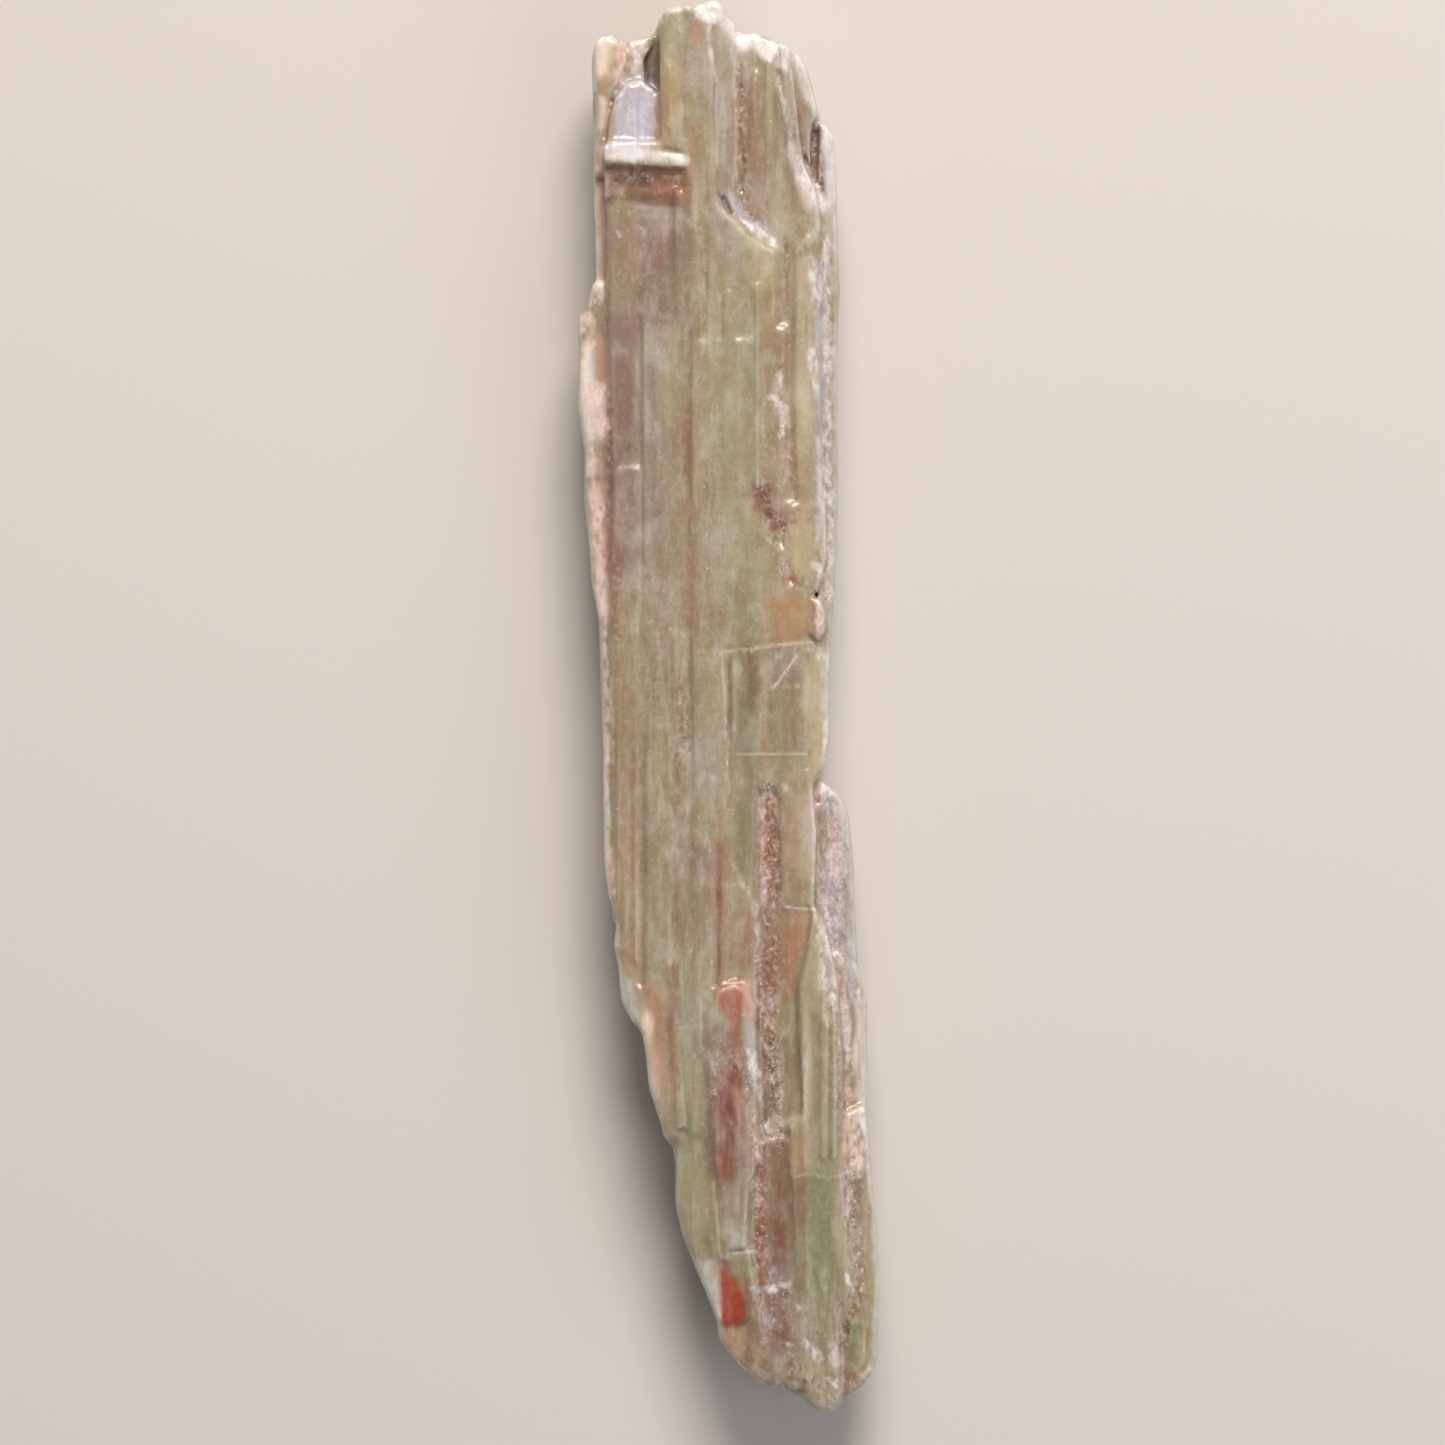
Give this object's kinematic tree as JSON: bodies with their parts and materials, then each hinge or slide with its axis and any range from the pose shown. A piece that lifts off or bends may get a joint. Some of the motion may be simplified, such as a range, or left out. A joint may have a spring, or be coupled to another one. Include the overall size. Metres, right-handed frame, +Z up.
{
  "type": "kyanite specimen",
  "caption": "Natural kyanite specimen: a long flat cluster of parallel green blades grown together, broken and worn at both ends, lying on flat cleavage faces.",
  "frame": {"origin": "on the resting plane, below the middle of the specimen's bounding box", "axes": "+Y along the blades towards the squarer end with the raised knob, +Z up from the resting faces, +X towards the side with the grey flank"},
  "size_m": [0.0212, 0.0988, 0.009],
  "materials": {
    "kyanite": "satin"
  },
  "bodies": {
    "root": {"kyanite_cluster": "kyanite"}
  },
  "joints": []
}
